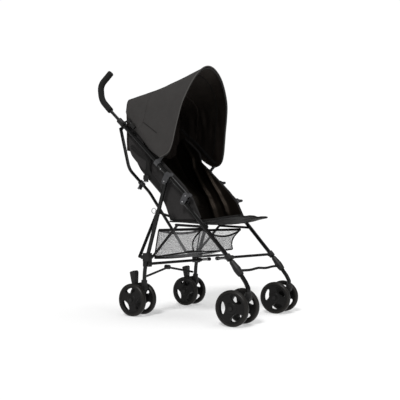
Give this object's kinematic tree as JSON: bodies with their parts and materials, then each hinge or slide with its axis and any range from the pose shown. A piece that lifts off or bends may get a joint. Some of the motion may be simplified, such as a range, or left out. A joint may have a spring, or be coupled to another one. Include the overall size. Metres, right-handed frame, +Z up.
{
  "type": "lightweight stroller",
  "caption": "Umbrella-fold stroller with a sling seat, open hood, net basket, crossed folding frame and twin wheels on braked rear legs and swivel casters.",
  "frame": {"origin": "on the floor, under the middle of the whole object", "axes": "+Z up; the seat faces -Y; the rider's right-hand side lies at -X"},
  "size_m": [0.508, 0.7533, 1.0632],
  "materials": {
    "black_tube": "gloss black powder coat",
    "dark_plastic": "moulded charcoal plastic",
    "grey_plastic": "moulded grey plastic",
    "foam": "black foam sleeve",
    "wheel_plastic": "moulded black plastic, satin",
    "black_cloth": "plain woven black cloth",
    "hood_cloth": "plain woven charcoal cloth",
    "mesh_cloth": "open net with a black binding"
  },
  "bodies": {
    "right_side": {"push_tube_r": "black_tube", "handle_tube_r": "black_tube", "handle_grip_r": "foam", "top_collar_r": "dark_plastic", "hood_clip_r": "grey_plastic", "rear_leg_bracket_r": "grey_plastic", "front_leg_bracket_r": "grey_plastic", "front_leg_r": "black_tube", "front_clamp_r": "dark_plastic", "footrest_joint_r": "grey_plastic", "lower_leg_r": "black_tube", "seat_back": "black_cloth", "seat_base": "black_cloth", "basket": "mesh_cloth", "footrest_strap": "black_cloth", "hood_cloth": "hood_cloth"},
    "left_side": {"push_tube_l": "black_tube", "handle_tube_l": "black_tube", "handle_grip_l": "foam", "top_collar_l": "dark_plastic", "hood_clip_l": "grey_plastic", "rear_leg_bracket_l": "grey_plastic", "front_leg_bracket_l": "grey_plastic", "front_leg_l": "black_tube", "front_clamp_l": "dark_plastic", "footrest_joint_l": "grey_plastic", "lower_leg_l": "black_tube"},
    "rear_leg_r": {"rear_leg_r": "black_tube", "low_bracket_r": "dark_plastic", "rear_housing_r": "dark_plastic"},
    "caster_r": {"caster_fork_r": "dark_plastic"},
    "front_wheel_r_outer": {"front_wheel_r_outer": "wheel_plastic"},
    "rear_wheel_r_outer": {"rear_wheel_r_outer": "wheel_plastic"},
    "front_wheel_r_inner": {"front_wheel_r_inner": "wheel_plastic"},
    "rear_wheel_r_inner": {"rear_wheel_r_inner": "wheel_plastic"},
    "brake_pedal_r": {"brake_pedal_r": "dark_plastic"},
    "cross_tube_r": {"cross_tube_r": "black_tube"},
    "seat_rail_r": {"seat_rail_r": "black_tube"},
    "seat_strut_r": {"seat_strut_r": "black_tube"},
    "front_arm_r": {"front_arm_r": "black_tube"},
    "rear_arm_r": {"rear_arm_r": "black_tube"},
    "brace_half_r": {"brace_half_r": "black_tube"},
    "rear_leg_l": {"rear_leg_l": "black_tube", "low_bracket_l": "dark_plastic", "rear_housing_l": "dark_plastic"},
    "caster_l": {"caster_fork_l": "dark_plastic"},
    "front_wheel_l_outer": {"front_wheel_l_outer": "wheel_plastic"},
    "rear_wheel_l_outer": {"rear_wheel_l_outer": "wheel_plastic"},
    "front_wheel_l_inner": {"front_wheel_l_inner": "wheel_plastic"},
    "rear_wheel_l_inner": {"rear_wheel_l_inner": "wheel_plastic"},
    "brake_pedal_l": {"brake_pedal_l": "dark_plastic"},
    "cross_tube_l": {"cross_tube_l": "black_tube"},
    "seat_rail_l": {"seat_rail_l": "black_tube"},
    "seat_strut_l": {"seat_strut_l": "black_tube"},
    "front_arm_l": {"front_arm_l": "black_tube"},
    "rear_arm_l": {"rear_arm_l": "black_tube"},
    "brace_half_l": {"brace_half_l": "black_tube"},
    "arm_hub": {"arm_hub": "grey_plastic"},
    "lock_hook": {"lock_hook": "grey_plastic"},
    "hood_bow": {"hood_front_bow": "dark_plastic"}
  },
  "joints": [
    {"name": "fold", "type": "slide", "parent": "right_side", "child": "left_side", "axis": [-1, 0, 0], "range_m": [0, 0.166], "deforming": ["seat_back", "seat_base", "basket", "footrest_strap", "hood_cloth", "hood_front_bow"]},
    {"name": "rear_leg_fold_r", "type": "hinge", "parent": "right_side", "child": "rear_leg_r", "pos_m": [-0.2068, 0.0114, 0.5535], "axis": [-1, 0, 0], "range_deg": [0, 31.1]},
    {"name": "rear_leg_fold_l", "type": "hinge", "parent": "left_side", "child": "rear_leg_l", "pos_m": [0.2068, 0.0114, 0.5535], "axis": [-1, 0, 0], "range_deg": [0, 31.1]},
    {"name": "cross_fold_r", "type": "hinge", "parent": "right_side", "child": "cross_tube_r", "pos_m": [-0.2, 0.256, 0.799], "axis": [-0.6976, 0.5656, 0.4398], "range_deg": [0, 38.02]},
    {"name": "cross_fold_l", "type": "hinge", "parent": "left_side", "child": "cross_tube_l", "pos_m": [0.2, 0.256, 0.799], "axis": [-0.7004, -0.5781, -0.4187], "range_deg": [0, 37.16]},
    {"name": "seat_rail_fold_r", "type": "hinge", "parent": "right_side", "child": "seat_rail_r", "pos_m": [-0.184, -0.171, 0.368], "axis": [1, 0, 0], "range_deg": [0, 18.16]},
    {"name": "seat_strut_fold_r", "type": "hinge", "parent": "rear_leg_r", "child": "seat_strut_r", "pos_m": [-0.1727, 0.1016, 0.245], "axis": [-1, 0, 0], "range_deg": [0, 24.4]},
    {"name": "seat_rail_fold_l", "type": "hinge", "parent": "left_side", "child": "seat_rail_l", "pos_m": [0.184, -0.171, 0.368], "axis": [1, 0, 0], "range_deg": [0, 18.16]},
    {"name": "seat_strut_fold_l", "type": "hinge", "parent": "rear_leg_l", "child": "seat_strut_l", "pos_m": [0.1727, 0.1016, 0.245], "axis": [-1, 0, 0], "range_deg": [0, 24.4]},
    {"name": "front_arm_fold_r", "type": "hinge", "parent": "right_side", "child": "front_arm_r", "pos_m": [-0.16, -0.2734, 0.2514], "axis": [0.7819, -0.6121, 0.1177], "range_deg": [0, 59.65]},
    {"name": "hub_turn", "type": "hinge", "parent": "front_arm_r", "child": "arm_hub", "pos_m": [0, -0.09, 0.234], "axis": [-0.7819, 0.6121, -0.1177], "range_deg": [0, 59.65]},
    {"name": "rear_arm_fold_r", "type": "hinge", "parent": "rear_leg_r", "child": "rear_arm_r", "pos_m": [-0.177, 0.104, 0.216], "axis": [-0.6797, -0.6514, -0.337], "range_deg": [0, 37.92]},
    {"name": "front_arm_fold_l", "type": "hinge", "parent": "left_side", "child": "front_arm_l", "pos_m": [0.16, -0.2734, 0.2514], "axis": [0.7819, 0.6121, -0.1177], "range_deg": [0, 59.65]},
    {"name": "rear_arm_fold_l", "type": "hinge", "parent": "rear_leg_l", "child": "rear_arm_l", "pos_m": [0.177, 0.104, 0.216], "axis": [-0.6797, 0.6514, 0.337], "range_deg": [0, 37.92]},
    {"name": "brace_fold_r", "type": "hinge", "parent": "rear_leg_r", "child": "brace_half_r", "pos_m": [-0.1925, 0.1342, 0.158], "axis": [0.0285, -0.9994, 0.0184], "range_deg": [0, 46.75]},
    {"name": "brace_fold_l", "type": "hinge", "parent": "rear_leg_l", "child": "brace_half_l", "pos_m": [0.1925, 0.1342, 0.158], "axis": [0.087, 0.9946, -0.0561], "range_deg": [0, 46.55]},
    {"name": "caster_swivel_r", "type": "hinge", "parent": "right_side", "child": "caster_r", "pos_m": [-0.1955, -0.355, 0.1262], "axis": [0, 0, 1], "continuous": true},
    {"name": "caster_swivel_l", "type": "hinge", "parent": "left_side", "child": "caster_l", "pos_m": [0.1955, -0.355, 0.1262], "axis": [0, 0, 1], "continuous": true},
    {"name": "front_wheel_spin_r_outer", "type": "hinge", "parent": "caster_r", "child": "front_wheel_r_outer", "pos_m": [-0.24, -0.3095, 0.0675], "axis": [1, 0, 0], "continuous": true},
    {"name": "rear_wheel_spin_r_outer", "type": "hinge", "parent": "rear_leg_r", "child": "rear_wheel_r_outer", "pos_m": [-0.2365, 0.1582, 0.0675], "axis": [1, 0, 0], "continuous": true},
    {"name": "front_wheel_spin_r_inner", "type": "hinge", "parent": "caster_r", "child": "front_wheel_r_inner", "pos_m": [-0.151, -0.3095, 0.0675], "axis": [1, 0, 0], "continuous": true},
    {"name": "rear_wheel_spin_r_inner", "type": "hinge", "parent": "rear_leg_r", "child": "rear_wheel_r_inner", "pos_m": [-0.1655, 0.1582, 0.0675], "axis": [1, 0, 0], "continuous": true},
    {"name": "front_wheel_spin_l_outer", "type": "hinge", "parent": "caster_l", "child": "front_wheel_l_outer", "pos_m": [0.24, -0.3095, 0.0675], "axis": [1, 0, 0], "continuous": true},
    {"name": "rear_wheel_spin_l_outer", "type": "hinge", "parent": "rear_leg_l", "child": "rear_wheel_l_outer", "pos_m": [0.2365, 0.1582, 0.0675], "axis": [1, 0, 0], "continuous": true},
    {"name": "front_wheel_spin_l_inner", "type": "hinge", "parent": "caster_l", "child": "front_wheel_l_inner", "pos_m": [0.151, -0.3095, 0.0675], "axis": [1, 0, 0], "continuous": true},
    {"name": "rear_wheel_spin_l_inner", "type": "hinge", "parent": "rear_leg_l", "child": "rear_wheel_l_inner", "pos_m": [0.1655, 0.1582, 0.0675], "axis": [1, 0, 0], "continuous": true},
    {"name": "brake_press_r", "type": "hinge", "parent": "rear_leg_r", "child": "brake_pedal_r", "pos_m": [-0.201, 0.1582, 0.0675], "axis": [-1, 0, 0], "range_deg": [0, 22]},
    {"name": "brake_press_l", "type": "hinge", "parent": "rear_leg_l", "child": "brake_pedal_l", "pos_m": [0.201, 0.1582, 0.0675], "axis": [-1, 0, 0], "range_deg": [0, 22]},
    {"name": "lock_hook_turn", "type": "hinge", "parent": "cross_tube_r", "child": "lock_hook", "pos_m": [-0.10444, 0.2127, 0.5628], "axis": [0.8486, -0.0029, -0.529], "range_deg": [0, 60]},
    {"name": "hood_bow_turn", "type": "hinge", "parent": "right_side", "child": "hood_bow", "pos_m": [0, 0.0295, 0.654], "axis": [-1, 0, 0], "range_deg": [0, 44], "deforming": ["hood_cloth"]}
  ],
  "couplings": [
    {"joint": "rear_leg_fold_r", "follows": "fold", "rad_per_m": 3.2068},
    {"joint": "rear_leg_fold_l", "follows": "fold", "rad_per_m": 3.2068},
    {"joint": "cross_fold_r", "follows": "fold", "rad_per_m": 3.9338},
    {"joint": "cross_fold_l", "follows": "fold", "rad_per_m": 3.8439},
    {"joint": "seat_rail_fold_r", "follows": "fold", "rad_per_m": 1.8464},
    {"joint": "seat_strut_fold_r", "follows": "fold", "rad_per_m": 2.5019},
    {"joint": "seat_rail_fold_l", "follows": "fold", "rad_per_m": 1.8464},
    {"joint": "seat_strut_fold_l", "follows": "fold", "rad_per_m": 2.5019},
    {"joint": "front_arm_fold_r", "follows": "fold", "rad_per_m": 6.2087},
    {"joint": "hub_turn", "follows": "fold", "rad_per_m": 6.2087},
    {"joint": "rear_arm_fold_r", "follows": "fold", "rad_per_m": 3.9244},
    {"joint": "front_arm_fold_l", "follows": "fold", "rad_per_m": 6.2087},
    {"joint": "rear_arm_fold_l", "follows": "fold", "rad_per_m": 3.9244},
    {"joint": "brace_fold_r", "follows": "fold", "rad_per_m": 4.852},
    {"joint": "brace_fold_l", "follows": "fold", "rad_per_m": 4.8311}
  ]
}
